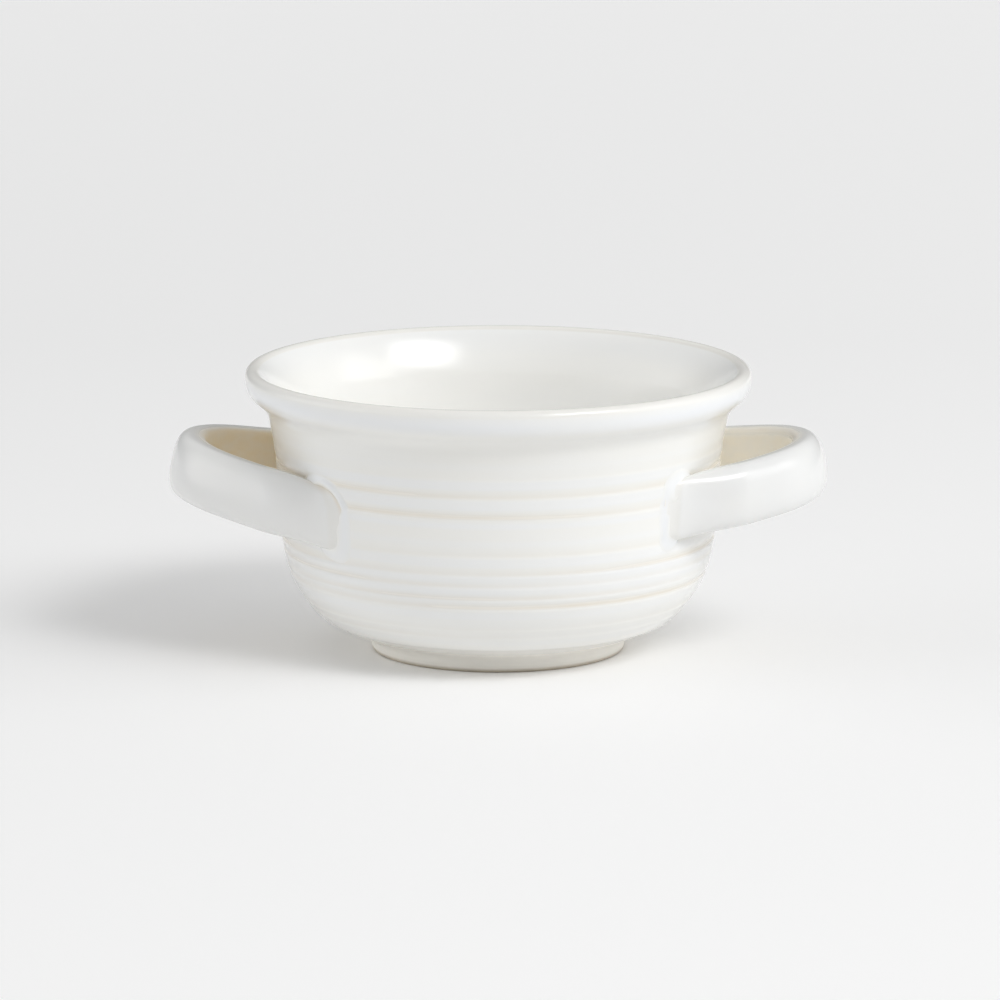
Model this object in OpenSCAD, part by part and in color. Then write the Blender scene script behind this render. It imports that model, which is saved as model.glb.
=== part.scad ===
// French onion soup crock: a thrown stoneware bowl on a foot ring, with two strap handles
// luted on with slip. Millimetres, +Z up, +X towards the right handle.
// The origin is the centre of the circle that the foot stands on.

/* [Bowl] */
// Outside diameter at the lip
rim_d = 140; // [125:1:165]
// Height of the lip above the table
bowl_h = 79; // [72:1:100]
// Thickness of the wall
wall_t = 5; // [3.5:0.1:7]
// Thickness of the floor
floor_t = 5; // [3.5:0.1:7]
// Radius of the rounded lip
lip_r = 2.1; // [1.4:0.1:2.8]
// How far the lip stands out from the neck below it
flare = 6.4; // [4:0.1:9]
// Depth of the neck below the lip
neck_drop = 13.5; // [11:0.5:18]
// Lean of the wall at the neck, from upright
neck_lean = 13; // [6:1:20]
// How far below the neck the belly curve keeps the neck's lean
neck_pull = 25; // [18:0.5:30]
// Radius of the heel, where the underside turns up into the belly
heel_r = 49.5; // [45:0.5:53]
// Height of the heel above the foot
heel_rise = 6.4; // [5:0.1:9]
// Lean of the wall at the heel, from upright
heel_lean = 47; // [38:1:54]
// How far above the heel the belly curve keeps the heel's lean
heel_pull = 21.5; // [16:0.5:25]
// How far above the neck the cove under the lip keeps the neck's lean
cove_pull = 6; // [4:0.1:8]
// How far below its widest point the rim stays upright
rim_pull = 7.4; // [5:0.1:9]
// Lean of the inside face at the mouth, from upright
mouth_lean = 24; // [10:1:34]
// How far the inside face keeps its lean at both ends of the flare
mouth_pull = 4.7; // [3:0.1:6]

/* [Throwing rings] */
// Depth of a full ring groove
ring_depth = 0.3; // [0.1:0.02:0.7]
// Width of the long slope above a groove
ring_above = 1.9; // [1:0.1:2.4]
// Width of the short slope below a groove
ring_below = 0.75; // [0.4:0.05:1.2]

/* [Foot] */
// Diameter of the outer edge that the foot stands on
foot_d = 69.5; // [58:0.5:72]
// Height of the foot ring
foot_h = 4; // [3.2:0.1:7]
// Width of the flat standing edge
foot_land = 3; // [2:0.5:5]
// Bevel on the standing edge
foot_bevel = 0.5; // [0.2:0.1:0.6]
// Radius of the fillet between the foot and the underside
foot_fillet = 2.4; // [1:0.1:2.6]
// How far the foot's sides slope outwards, from bottom to top
foot_draft = 0.6; // [0.4:0.1:2.5]

/* [Handles] */
// How far a handle reaches out from the wall
handle_reach = 30; // [24:0.5:38]
// Height of the middle of the strap where it crosses the wall's radius
handle_z = 47.3; // [42:0.1:50]
// Upward tilt of the loop
handle_tilt = 10.7; // [4:0.1:15]
// Height of the strap
strap_h = 17; // [13:0.5:22]
// Thickness of the strap
strap_t = 8.6; // [7:0.1:11]
// Rounding of the strap's edges
strap_round = 3.4; // [2:0.1:3.4]
// Radius of the loop's inside at the tip
loop_r = 23.5; // [18:0.5:28]
// How deep the line of the strap's inner face passes inside the wall
seat_bite = 5.2; // [3:0.1:8]
// Length of the strap's inner face that lies against the wall
seat_len = 13.6; // [8:0.1:16]
// Size of the cut across the corners of a strap's end
strap_end_cut = 3.2; // [1:0.1:5]

/* [Slip] */
// Width of the slip fillet round a strap end
slip_w = 2.6; // [1:0.1:3.2]
// Height of the slip fillet off the wall
slip_h = 1.6; // [0.8:0.1:2.4]

/* [Hidden] */
$fn = 96;

glaze_white = [0.90, 0.89, 0.86];
bare_clay = [0.74, 0.67, 0.57];
slip_white = [0.88, 0.89, 0.90];

// Where each throwing ring lies on the way from heel to neck, and its share of the full depth
rings = [
    [0.07, 0.4], [0.13, 0.5], [0.24, 1.0], [0.29, 0.7], [0.345, 0.7],
    [0.41, 1.0], [0.51, 0.7], [0.70, 1.0], [0.80, 1.0], [0.89, 0.4]
];
// Most of a band between two rings that the slope above a groove may take
slope_above_share = 0.55;
// Most of a band between two rings that the slope below a groove may take
slope_below_share = 0.25;
// Longest straight stretch of the wall's outline
wall_step = 4;
// Straight stretches in a rounded part of an outline
curve_steps = 8;
// Halvings in the search for a height on the belly curve
halvings = 24;
// How far a cutting shape runs past what it cuts
cut_past = 1;

rim_r = rim_d / 2;
foot_r = foot_d / 2;
neck = [rim_r - flare, bowl_h - neck_drop];
heel = [heel_r, foot_h + heel_rise];
lip_c = [rim_r - lip_r, bowl_h - lip_r];

// Direction that leans out from upright by an angle, and the direction square to it, outwards
function lean(a) = [sin(a), cos(a)];
function lean_out(a) = [cos(a), -sin(a)];

// Point on a cubic curve with four control points, and the curve's direction there
function bezier(p, t) =
    pow(1 - t, 3) * p[0] + 3 * t * pow(1 - t, 2) * p[1] + 3 * t * t * (1 - t) * p[2] + pow(t, 3) * p[3];
function bezier_dir(p, t) =
    pow(1 - t, 2) * (p[1] - p[0]) + 2 * t * (1 - t) * (p[2] - p[1]) + t * t * (p[3] - p[2]);

// Points along an arc, without its first point
function arc(c, r, from, to) =
    [for (i = [1 : curve_steps]) let (a = from + (to - from) * i / curve_steps) c + r * [cos(a), sin(a)]];

// Belly: one curve from heel to neck
belly = [heel, heel + heel_pull * lean(heel_lean), neck - neck_pull * lean(neck_lean), neck];
// How far along the belly curve a height is reached
function belly_at(z, lo = 0, hi = 1, n = halvings) =
    let (mid = (lo + hi) / 2)
    n == 0 ? mid : bezier(belly, mid)[1] < z ? belly_at(z, mid, hi, n - 1) : belly_at(z, lo, mid, n - 1);
function belly_r(z) = bezier(belly, belly_at(z))[0];

// Outline of the wall from a groove of some depth up to the start of the next groove
function band(z0, z1, depth) =
    let (
        gap = z1 - z0,
        above = min(ring_above, slope_above_share * gap),
        below = min(ring_below, slope_below_share * gap),
        crest = gap - above - below,
        n = max(1, ceil(crest / wall_step))
    )
    concat(
        [[belly_r(z0) - depth, z0]],
        [for (i = [0 : n]) let (z = z0 + above + crest * i / n) [belly_r(z), z]]
    );
function ring_z(i) = heel[1] + rings[i][0] * (neck[1] - heel[1]);
last_ring = len(rings) - 1;
belly_outline = concat(
    band(heel[1], ring_z(0), 0),
    [for (i = [0 : last_ring - 1]) each band(ring_z(i), ring_z(i + 1), ring_depth * rings[i][1])],
    band(ring_z(last_ring), neck[1], ring_depth * rings[last_ring][1])
);

// Rim: a cove out from the neck to the widest point of the lip
rim_curve = [neck, neck + cove_pull * lean(neck_lean), [rim_r, lip_c[1] - rim_pull], [rim_r, lip_c[1]]];
rim_outline = [for (i = [0 : curve_steps]) bezier(rim_curve, i / curve_steps)];

// Underside: flat over the foot, then a cone up to the heel
under_r = foot_r + foot_draft + foot_fillet + foot_bevel;
outer_outline = concat([[0, foot_h], [under_r, foot_h]], belly_outline, rim_outline);

// Inside: over the lip, in along the flare, down the belly curve set in by the wall, and an arc to the floor
mouth = lip_c + lip_r * [-cos(mouth_lean), sin(mouth_lean)];
inner_neck = neck - wall_t * lean_out(neck_lean);
mouth_curve = [
    mouth, mouth - mouth_pull * lean(mouth_lean),
    inner_neck + mouth_pull * lean(neck_lean), inner_neck
];
inner_heel = heel - wall_t * lean_out(heel_lean);
inner_steps = 2 * curve_steps;
function inner_belly(t) =
    let (d = bezier_dir(belly, t))
    bezier(belly, t) - wall_t * [d[1], -d[0]] / norm(d);
floor_z = foot_h + floor_t;
floor_turn = 90 - heel_lean;
floor_arc_r = (inner_heel[1] - floor_z) / (1 - cos(floor_turn));
floor_arc_c = inner_heel + floor_arc_r * [-sin(floor_turn), cos(floor_turn)];
inner_outline = concat(
    arc(lip_c, lip_r, 0, 90),
    arc(lip_c, lip_r, 90, 180 - mouth_lean),
    [for (i = [1 : curve_steps]) bezier(mouth_curve, i / curve_steps)],
    [for (i = [1 : inner_steps]) inner_belly(1 - i / inner_steps)],
    arc(floor_arc_c, floor_arc_r, floor_turn - 90, -90),
    [[0, floor_z]]
);

// Strap loop, laid out flat with the bowl's axis at its origin, before it is tilted
wall_r = belly_r(handle_z);
loop_x = wall_r + handle_reach - strap_t - loop_r;
splay = asin((wall_r - seat_bite - loop_r) / loop_x);
seat_start = loop_x * cos(splay) - sqrt(2 * wall_r * seat_bite - seat_bite * seat_bite);
leg_len = seat_start + seat_len;

// Everything inside the bowl's outer face, with that face moved outwards by an amount
module bowl_outside(grow = 0) {
    rotate_extrude()
        polygon(concat([for (p = outer_outline) [p[0] == 0 ? 0 : p[0] + grow, p[1]]], [[0, lip_c[1]]]));
}

// Section across the strap: a rectangle with round corners
module strap_section(grow) {
    r = strap_round + grow;
    w = strap_t / 2 + grow;
    h = strap_h / 2 + grow;
    square([2 * (w - r), 2 * h], center = true);
    square([2 * w, 2 * (h - r)], center = true);
    for (x = [-1, 1], y = [-1, 1])
        translate([x * (w - r), y * (h - r)])
            circle(r);
}

// Side view of a leg: cut off square at its end, and across that end's corners
module leg_side(grow) {
    end = leg_len + grow;
    top = strap_h / 2 + grow;
    cut = strap_end_cut + grow * (2 - sqrt(2));
    polygon([
        [-cut_past, -top - cut_past],
        [end - cut - cut_past, -top - cut_past],
        [end, cut - top],
        [end, top - cut],
        [end - cut - cut_past, top + cut_past],
        [-cut_past, top + cut_past]
    ]);
}

// One leg of the loop: side 1 runs to the rear end, side -1 to the front end
module strap_leg(side, grow = 0) {
    mirror([0, side > 0 ? 0 : 1, 0])
        translate([loop_x, 0, 0])
            rotate([0, 0, 90 - splay])
                translate([loop_r + strap_t / 2, 0, 0])
                    intersection() {
                        rotate([-90, 0, 0])
                            linear_extrude(leg_len + grow + cut_past)
                                strap_section(grow);
                        rotate([90, 0, 90])
                            linear_extrude(strap_t + 2 * (grow + cut_past), center = true)
                                leg_side(grow);
                    }
}

// The round end of the loop, between its two legs
module strap_tip() {
    translate([loop_x, 0, 0])
        rotate([0, 0, splay - 90])
            rotate_extrude(angle = 180 - 2 * splay)
                translate([loop_r + strap_t / 2, 0])
                    strap_section(0);
}

// Tilts up, about the wall, what is laid out flat, and lifts it to its height on the bowl
module on_wall() {
    translate([wall_r, 0, handle_z])
        rotate([0, -handle_tilt, 0])
            translate([-wall_r, 0, 0])
                children();
}

// The right-hand loop, its ends shaped to the wall
module strap_handle() {
    difference() {
        on_wall() {
            strap_tip();
            strap_leg(1);
            strap_leg(-1);
        }
        bowl_outside();
    }
}

// The slip round one end of the right-hand loop, between strap and wall
module slip_fillet(side) {
    difference() {
        intersection() {
            on_wall() strap_leg(side, slip_w);
            bowl_outside(slip_h);
        }
        on_wall() strap_leg(side);
        bowl_outside();
    }
}

module bowl_body() {
    color(glaze_white)
        rotate_extrude()
            polygon(concat(outer_outline, inner_outline));
}

module foot_ring() {
    stand_in = foot_r - foot_land;
    side_r = foot_r + foot_draft;
    fillet_c = [side_r + foot_fillet, foot_h - foot_fillet];
    color(bare_clay)
        rotate_extrude()
            polygon(concat(
                [[stand_in, 0], [foot_r - foot_bevel, 0], [foot_r, foot_bevel], [side_r, fillet_c[1]]],
                arc(fillet_c, foot_fillet, 180, 90),
                [[stand_in - foot_draft, foot_h]]
            ));
}

module left_handle() {
    color(glaze_white) mirror([1, 0, 0]) strap_handle();
}

module right_handle() {
    color(glaze_white) strap_handle();
}

module left_front_slip() {
    color(slip_white) mirror([1, 0, 0]) slip_fillet(-1);
}

module left_rear_slip() {
    color(slip_white) mirror([1, 0, 0]) slip_fillet(1);
}

module right_front_slip() {
    color(slip_white) slip_fillet(-1);
}

module right_rear_slip() {
    color(slip_white) slip_fillet(1);
}

bowl_body();
foot_ring();
left_handle();
right_handle();
left_front_slip();
left_rear_slip();
right_front_slip();
right_rear_slip();
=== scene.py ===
import math
from dataclasses import dataclass

import bpy
import numpy as np
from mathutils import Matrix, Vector


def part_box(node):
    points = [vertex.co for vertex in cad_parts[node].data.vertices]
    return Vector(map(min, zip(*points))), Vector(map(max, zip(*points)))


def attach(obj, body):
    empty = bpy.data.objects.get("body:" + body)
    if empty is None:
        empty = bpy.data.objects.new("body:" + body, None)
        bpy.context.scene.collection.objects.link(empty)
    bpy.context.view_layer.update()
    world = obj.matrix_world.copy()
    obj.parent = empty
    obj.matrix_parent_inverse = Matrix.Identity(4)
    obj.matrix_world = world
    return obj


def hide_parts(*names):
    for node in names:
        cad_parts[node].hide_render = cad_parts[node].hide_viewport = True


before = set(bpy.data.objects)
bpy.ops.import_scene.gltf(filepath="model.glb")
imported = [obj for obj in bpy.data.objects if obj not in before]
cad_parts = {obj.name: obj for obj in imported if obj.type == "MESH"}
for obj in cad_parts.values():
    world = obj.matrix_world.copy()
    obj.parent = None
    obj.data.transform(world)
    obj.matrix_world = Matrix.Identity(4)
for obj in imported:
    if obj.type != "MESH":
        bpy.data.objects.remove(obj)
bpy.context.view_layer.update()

# A french onion soup crock: thrown bowl, turned foot, two strap handles luted on with slip.
# Metres, +Z up, +X towards the right handle, the camera in front at -Y.
# A lean is in degrees out from upright. A pull is how far a curve runs on in its end's direction.
MM = 0.001

# Bowl: the frame gives the lip's radius, the height and the height of the underside
bowl_low, bowl_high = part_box("bowl_body")
RIM_R = bowl_high.x
BOWL_H = bowl_high.z
FOOT_H = bowl_low.z
WALL_T = 5 * MM
NECK_T = 3.7 * MM
FLOOR_T = 5 * MM
LIP_R = 2.1 * MM
FLARE = 6.4 * MM
NECK_DROP = 13.5 * MM
NECK_LEAN = 13
NECK_PULL = 25 * MM
HEEL_R = 49.5 * MM
HEEL_RISE = 6.4 * MM
HEEL_LEAN = 47
HEEL_PULL = 21.5 * MM
HEEL_DROP = 1.8 * MM
HEEL_SOFT = 1.6 * MM
HEEL_ROUND = 0.3
COVE_PULL = 6 * MM
RIM_PULL = 7.4 * MM
MOUTH_LEAN = 42
MOUTH_PULL = 4.0 * MM
MOUTH_EASE = 0.6
BASE_POLE_R = 6 * MM
BASE_GAP = 0.4 * MM
FLOOR_POLE_R = 3 * MM

# Throwing rings: share of the way from heel to neck, share of the full depth
RINGS = [
    (0.06, 0.64), (0.105, 0.66), (0.225, 1.0), (0.275, 0.85), (0.337, 0.85),
    (0.40, 0.95), (0.495, 0.6), (0.685, 0.95), (0.792, 1.0), (0.885, 0.4),
]
RING_DEPTH = 0.24 * MM
RING_ABOVE = 2.6 * MM
RING_BELOW = 1.2 * MM
RING_WANDER = 0.1 * MM
RING_FADE = 0.14
RING_RIPPLE = 0.4
# Radians from one ring to the next of the wander, the ripple and the fade, so that no two run alike
RING_PHASES = (2.4, 1.1, 1.7)

# Foot, with the fillet that runs out under the bowl
FOOT_R = 35.0 * MM
FOOT_LAND = 3 * MM
FOOT_BEVEL = 0.7 * MM
FOOT_DRAFT = 0.4 * MM
FILLET_R = 4.5 * MM
FILLET_DROP = 0.45
FILLET_SINK = 0.3 * MM
FILLET_EDGE = 0.8 * MM
FILLET_PULLS = (0.1, 0.3)
# Past the fillet's edge: how far out along the underside, and how deep under its face
FILLET_TUCK = ((0.8 * MM, 0.1 * MM), (1.2 * MM, 0.8 * MM))
FOOT_TOP_IN = 0.4 * MM
FOOT_TOP_UP = 0.3 * MM

# Strap handles
HANDLE_REACH = 30 * MM
STRAP_H = 17 * MM
STRAP_T = 8.6 * MM
LOOP_R = 23.5 * MM
SEAT_BITE = 5.2 * MM
SEAT_LEN = 13.6 * MM
SEAT_MIDDLE = 0.55
END_ROUND = 1.2 * MM
END_RAMP = 6 * MM
END_THUMBED = 0.85
END_LEFT_UP = 0.45
LEG_START = 0.5
BEND_EASE = 3 * MM
BURY = 0.6 * MM

# Slip round the strap ends: lengths, shares, and ramps as a start and a length
SLIP_R = 1.6 * MM
SLIP_SPREAD = 3.2 * MM
SLIP_SEARCH = 26 * MM
SLIP_BEAD = 0.9 * MM
SLIP_TUCK = 0.04 * MM
SLIP_OVERLAP = 0.1 * MM
SLIP_WEDGE = (0.2, 0.6)
SLIP_WEDGE_LESS = 0.6
SLIP_END_LESS = 0.68
SLIP_LOW_MORE = 0.4
SLIP_SEAM = (0.1, 0.4)
SLIP_SEAM_TO_TIP = 0.4
SLIP_SEAM_LESS = 0.7
SLIP_END = (0.1, 0.8)
SLIP_END_LOW = (0.25, 0.2)
CORNER_RISE = 0.25
CORNER_LIFT = 0.15 * MM
CORNER_END_LIFT = 0.3 * MM
BEAD_OUT = 0.5
TOE_OUT = 0.4
HIDDEN_OUT = 0.9
HIDDEN_IN = 0.8 * MM
HIDDEN_STRAP_IN = 0.9 * MM
HIDDEN_UNDER = 0.8
QUARTER_ARC = 0.5523

# What the potter's hand left different on the two handles; the right's smaller wiped share and paler tan also
# paint the inside of its loop lighter, as painted light
HANDLES = {
    "left": dict(side=-1, z=46.9 * MM, tilt=12.0, outer=2.9, inner=5.0, end_shift=0.4 * MM, end_slant=0.2,
                 top_cut=7.5 * MM, low_cut=3.4 * MM, press=0.75, taper=24 * MM, seam=1.0, raw=1.0,
                 raw_front=(0.93, 0.12), raw_rear=(1.05, 0.15)),
    "right": dict(side=1, z=47.7 * MM, tilt=9.3, outer=2.3, inner=5.0, end_shift=-4.5 * MM, end_slant=0.2,
                  top_cut=3.2 * MM, low_cut=3.2 * MM, press=0.75, taper=24 * MM, seam=0.2, raw=0.8,
                  raw_front=(0.93, 0.3), raw_rear=(1.05, 0.4)),
}

# Where the glaze runs thin, lies thick or is wiped off, and where light and shade are painted on: shares,
# places, and ramps as a start and a length
RING_LINE_POWER = 3
LIP_THIN = 0.22
LIP_THIN_AT = 95
LIP_THIN_OVER = 90
UNDERSIDE_THIN = 0.25
UNDERSIDE_THIN_OVER = 3 * MM
BASE_BARE = 0.25
RING_POOL = 0.7
POOL_ABOVE_RING = (3.2 * MM, 2.2 * MM)
POOL_BELOW_RING = (2.2 * MM, 1.8 * MM)
RIM_POOL_DROP = 4.5 * MM
RIM_POOL_OVER = 4 * MM
MOUTH_POOL = 0.6
MOUTH_POOL_DROP = 11 * MM
MOUTH_POOL_OVER = 9 * MM
FOOT_BARE_TO = 1.5 * MM
FOOT_BARE_OVER = 1.3 * MM
STRAP_POOL = 0.6
STRAP_POOL_BACK = (0.7 * END_RAMP, 2 * MM)
# Painted light: how strongly the smoothed-in strap ends take the lighter white, and over what length
STRAP_END_PAINTED_LIGHT = 0.45
STRAP_END_PAINTED_LIGHT_OVER = 2.5 * MM
STRAP_EDGE_THIN = 0.9
INNER_FACE = (0.25, 0.5)
INNER_EDGE = (0.15, 0.4)
TOP_EDGE = (0.8, 0.12)
WIPED_FROM_END = 7 * MM
WIPED_FADE = 4 * MM
FRONT_TO_REAR = 30 * MM
# Painted shade with the thin glaze's tan along the crease at a strap end: strength, width, length, and how
# low it reaches
CREASE_THIN_AND_SHADE = 0.4
CREASE_W = 2.6 * MM
CREASE_LEN = 14 * MM
CREASE_LOW = 0.3
SLIP_WIPED = 0.7
SLIP_WIPED_TIP = (0.5, 0.45)
SLIP_POOL_OVER = 0.62
SLIP_POOL_WEDGE_LESS = 0.7
# Tan of thin glaze with painted shade on the slip's edge along the crease, and over what share of its rows
SLIP_CREASE_THIN_AND_SHADE = 0.5
SLIP_CREASE_THIN_AND_SHADE_OVER = 0.35

# Fineness of the meshes, and rounds of the searches for the slip's outline
SEGMENTS = 192
BOWL_ROWS = dict(base=8, underside=40, heel=10, rim=34, lip=26, mouth=24, curve=20, floor=10)
FOOT_ROWS = dict(inner_bevel=6, land=6, outer_bevel=7, side=10, fillet=14, top=6)
BELLY_POINTS = 600
INNER_STRIDE = 9
WALL_STEP = 0.3 * MM
STRAP_RING = 96
STRAP_STEP = 0.5 * MM
STRAP_END_ROWS = 12
STRAP_CAP_ROWS = 7
LINE_STEP = 0.1 * MM
SLIP_STATIONS = 96
SLIP_ROWS = 10
SHARE_GUESS = 0.3
SHARE_ROUNDS = 24
HALVINGS = 30
SOFTENINGS = 3

# Light of the room: levels, and the part of each direction's run over which they change
SKY = 0.58
LEFT_GLOW = 1.9
RIGHT_GLOW = 0.9
FRONT_LOW = 0.24
BACK_LOW = 0.27
LEFT_X = (-0.96, -0.62)
RIGHT_X = (0.6, 0.97)
FRONT_RISE_Z = (0.3, 0.85)
BACK_RISE_Z = (0.2, 0.5)
BEHIND_Y = (0.3, 0.7)
LIGHT_AIM = (0, 0, 0.04)

# Floor: half its width, its white and its own glow, and how far back they change
FLOOR_HALF = 6.0
FLOOR_WHITE = (0.965, 0.985)
FLOOR_WHITE_Y = (0.5, 1.3)
FLOOR_GLOW = (0.02, 0.12)
FLOOR_GLOW_Y = (0.5, 1.6)

# Camera
CAMERA_UP = 11.05
CAMERA_AWAY = 2.0
CAMERA_AIM = (0.0005, 0, 0.0414)
CAMERA_LENS = 259.5
SENSOR_W = 36


def lean(degrees):
    """Direction that leans out from upright by an angle, as radius and height."""
    return np.array([math.sin(math.radians(degrees)), math.cos(math.radians(degrees))])


def bezier(points, t):
    """Points on a cubic curve with four control points."""
    t = np.asarray(t, float)[:, None]
    a, b, c, d = (np.asarray(p, float) for p in points)
    return (1 - t) ** 3 * a + 3 * t * (1 - t) ** 2 * b + 3 * t * t * (1 - t) * c + t ** 3 * d


def arc(centre, radius, start, end, count):
    """Points along an arc, angles in degrees."""
    a = np.radians(np.linspace(start, end, count))
    return np.asarray(centre) + radius * np.column_stack([np.cos(a), np.sin(a)])


def smooth(x):
    """Eases from 0 to 1 as x goes from 0 to 1."""
    x = np.clip(x, 0, 1)
    return x * x * (3 - 2 * x)


def ramp(x, start, over):
    """Eases from 0 to 1 as x goes from a start over a length."""
    return smooth((x - start) / over)


def hump(x):
    """A round hump, 1 at 0 and 0 from 1 outwards."""
    x = np.minimum(np.abs(x), 1)
    return (1 - x * x) ** 2


# Curves of the bowl, as radius and height
neck = np.array([RIM_R - FLARE, BOWL_H - NECK_DROP])
heel = np.array([HEEL_R, FOOT_H + HEEL_RISE])
lip_c = np.array([RIM_R - LIP_R, BOWL_H - LIP_R])
belly = [heel, heel + HEEL_PULL * lean(HEEL_LEAN), neck - NECK_PULL * lean(NECK_LEAN), neck]
belly_points = bezier(belly, np.linspace(0, 1, BELLY_POINTS))
belly_slopes = np.gradient(belly_points[:, 0], belly_points[:, 1])
foot_top = np.array([FOOT_R + FOOT_DRAFT, FOOT_H])
heel_edge = heel - HEEL_DROP * lean(HEEL_LEAN)
under_out = (heel_edge - foot_top) / np.linalg.norm(heel_edge - foot_top)
under_in = np.array([-under_out[1], under_out[0]])
ring_z = [heel[1] + share * (neck[1] - heel[1]) for share, _ in RINGS]


def belly_r(z):
    """Radius of the belly at a height, without its rings."""
    return np.interp(z, belly_points[:, 1], belly_points[:, 0])


def belly_normal(z):
    """Outward direction of the belly at a height, as radius and height."""
    slope = np.interp(z, belly_points[:, 1], belly_slopes)
    size = np.sqrt(1 + slope * slope)
    return 1 / size, -slope / size


# Meshes

def make_mesh(name, verts, faces, masks, material):
    """A smooth closed mesh object, its faces turned outward, with its glaze masks stored on the points."""
    verts = np.asarray(verts)
    corners = np.array([f[:3] for f in faces] + [(f[0], f[2], f[3]) for f in faces if len(f) == 4])
    a, b, c = (verts[corners[:, i]] for i in range(3))
    if np.einsum("ij,ij->", a, np.cross(b, c)) < 0:
        faces = [f[::-1] for f in faces]
    mesh = bpy.data.meshes.new(name)
    mesh.from_pydata([tuple(v) for v in verts], [], faces)
    for key, values in masks.items():
        layer = mesh.attributes.new(key, "FLOAT", "POINT")
        layer.data.foreach_set("value", np.ascontiguousarray(values, np.float32))
    mesh.polygons.foreach_set("use_smooth", [True] * len(mesh.polygons))
    piece = bpy.data.objects.new(name, mesh)
    bpy.context.scene.collection.objects.link(piece)
    mesh.materials.append(material)
    return piece


def grid_faces(rows, columns, close_rows=False):
    """Quads of a grid that is closed along its columns, and along its rows if asked."""
    faces = []
    last = rows if close_rows else rows - 1
    for i in range(last):
        a = i * columns
        b = (i + 1) % rows * columns
        for j in range(columns):
            k = (j + 1) % columns
            faces.append((a + j, a + k, b + k, b + j))
    return faces


def capped_faces(rows, columns):
    """Faces of a grid with both end rows closed round a pole each; the poles come after the grid."""
    faces = grid_faces(rows, columns)
    first_pole, last_pole = rows * columns, rows * columns + 1
    last = (rows - 1) * columns
    for j in range(columns):
        k = (j + 1) % columns
        faces.append((first_pole, k, j))
        faces.append((last_pole, last + j, last + k))
    return faces


def with_poles(mask, first, last):
    """A grid's mask as a list, with the values at its two poles."""
    return np.append(np.asarray(mask).ravel(), [first, last])


def spun(radius, height):
    """Points of a lathed grid: radius and height are arrays of rows by segments."""
    turn = np.linspace(0, 2 * math.pi, SEGMENTS, endpoint=False)[None, :]
    x = radius * np.cos(turn)
    y = radius * np.sin(turn)
    return np.stack([x, y, np.broadcast_to(height, x.shape)], axis=-1).reshape(-1, 3)


def all_round(rows):
    """Radius and height of lathed rows, repeated for each segment."""
    return np.repeat(rows[:, :1], SEGMENTS, axis=1), np.repeat(rows[:, 1:], SEGMENTS, axis=1)


# Shader node groups

def new_group(name, inputs, outputs):
    """An empty shader node group with named sockets, and its input and output nodes."""
    group = bpy.data.node_groups.new(name, "ShaderNodeTree")
    for socket, kind, value in inputs:
        made = group.interface.new_socket(name=socket, in_out="INPUT", socket_type="NodeSocket" + kind)
        made.default_value = value
    for socket, kind in outputs:
        group.interface.new_socket(name=socket, in_out="OUTPUT", socket_type="NodeSocket" + kind)
    return group, group.nodes.new("NodeGroupInput"), group.nodes.new("NodeGroupOutput")


def node(tree, kind, values=None, **settings):
    """A new node with its settings and its input values."""
    made = tree.nodes.new(kind)
    for key, value in settings.items():
        setattr(made, key, value)
    for key, value in (values or {}).items():
        made.inputs[key].default_value = value
    return made


def math_node(tree, operation, a, b):
    """A Math node on two inputs, each a socket or a number."""
    made = node(tree, "ShaderNodeMath", operation=operation)
    for i, value in enumerate((a, b)):
        if isinstance(value, (int, float)):
            made.inputs[i].default_value = value
        else:
            tree.links.new(value, made.inputs[i])
    return made.outputs[0]


def mix_colour(tree, factor, a, b):
    """A Mix node on two colours."""
    made = node(tree, "ShaderNodeMix", data_type="RGBA")
    tree.links.new(factor, made.inputs["Factor"])
    tree.links.new(a, made.inputs[6])
    tree.links.new(b, made.inputs[7])
    return made.outputs[2]


def noise(tree, place, scale, detail, rough=0.5):
    """A Noise texture's value at a place; scale is a socket or a number."""
    made = node(tree, "ShaderNodeTexNoise", {"Detail": detail, "Roughness": rough})
    tree.links.new(place, made.inputs["Vector"])
    if isinstance(scale, (int, float)):
        made.inputs["Scale"].default_value = scale
    else:
        tree.links.new(scale, made.inputs["Scale"])
    return made.outputs["Fac"]


def remap(tree, value, low, high, to_low, to_high):
    """A Map Range node, clamped."""
    made = node(tree, "ShaderNodeMapRange", {
        "From Min": low, "From Max": high, "To Min": to_low, "To Max": to_high})
    tree.links.new(value, made.inputs["Value"])
    return made.outputs["Result"]


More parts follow.
